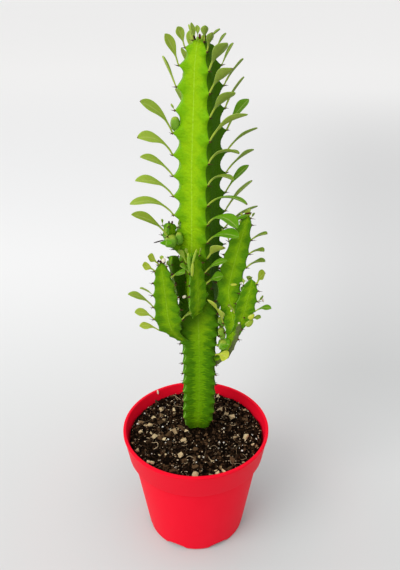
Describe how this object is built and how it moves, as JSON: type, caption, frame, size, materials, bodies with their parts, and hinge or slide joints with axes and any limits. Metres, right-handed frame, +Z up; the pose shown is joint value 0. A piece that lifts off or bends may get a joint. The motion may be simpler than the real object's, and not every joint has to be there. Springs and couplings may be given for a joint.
{
  "type": "potted euphorbia",
  "caption": "Columnar ribbed euphorbia with side shoots, spines and small leaves, rooted in soil in a round plastic nursery pot.",
  "frame": {"origin": "middle of the pot's foot, on the surface that it stands on", "axes": "+Z up along the pot's axis; -Y is the front, where the tall right shoot is at +X"},
  "size_m": [0.12, 0.12, 0.4056],
  "materials": {
    "pot_plastic": "satin",
    "potting_mix": "matte",
    "stem_skin": "satin"
  },
  "bodies": {
    "root": {"pot": "pot_plastic", "soil": "potting_mix", "main_stem": "stem_skin", "shoot_right_tall": "stem_skin", "shoot_left_front": "stem_skin", "shoot_front": "stem_skin", "shoot_right_front": "stem_skin", "shoot_left_back": "stem_skin", "shoot_left_small": "stem_skin"}
  },
  "joints": []
}
